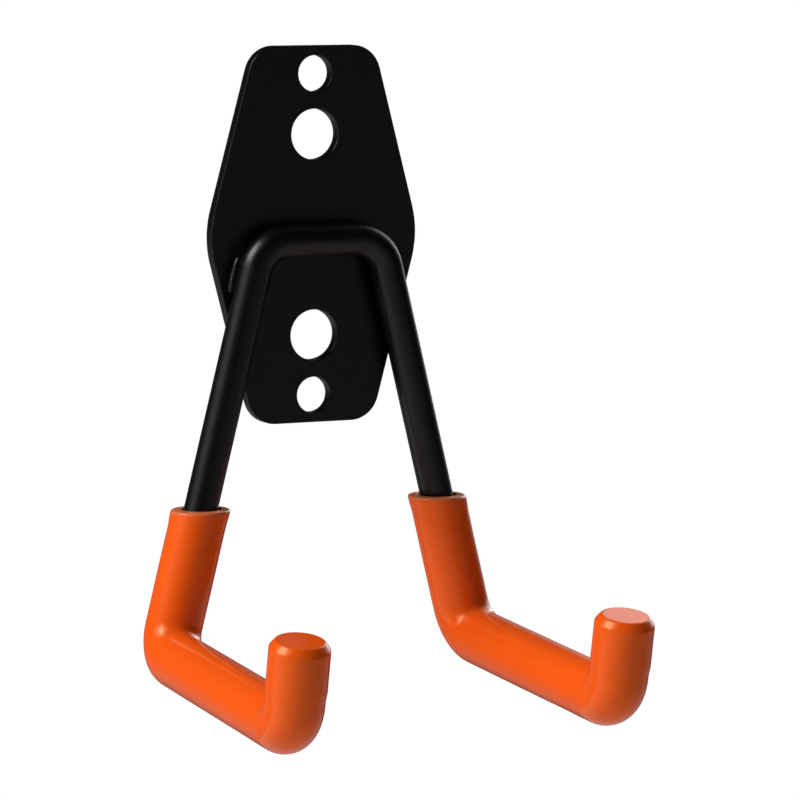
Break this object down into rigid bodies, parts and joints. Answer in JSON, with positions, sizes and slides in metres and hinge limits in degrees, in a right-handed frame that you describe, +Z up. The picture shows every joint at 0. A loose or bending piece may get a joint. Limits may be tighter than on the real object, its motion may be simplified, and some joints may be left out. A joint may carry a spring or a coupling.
{
  "type": "garage utility hook",
  "caption": "Wall-mounted utility hook: a bent steel rod arch with a pair of forward prongs in soft sleeves, welded to a tall hexagonal backplate with holes for screws",
  "frame": {"origin": "middle of the backplate's flat back, on the wall", "axes": "+Z up, +X to the right as seen from the room, +Y into the wall, prongs towards -Y"},
  "size_m": [0.0958, 0.0923, 0.1545],
  "materials": {
    "black_powder_coat": "semi-gloss black powder coat over steel",
    "orange_vinyl": "smooth soft orange vinyl with a light sheen"
  },
  "bodies": {
    "root": {"backplate": "black_powder_coat", "hook_rod": "black_powder_coat", "weld_bead_left": "black_powder_coat", "weld_bead_right": "black_powder_coat", "sleeve_left": "orange_vinyl", "sleeve_right": "orange_vinyl"}
  },
  "joints": []
}
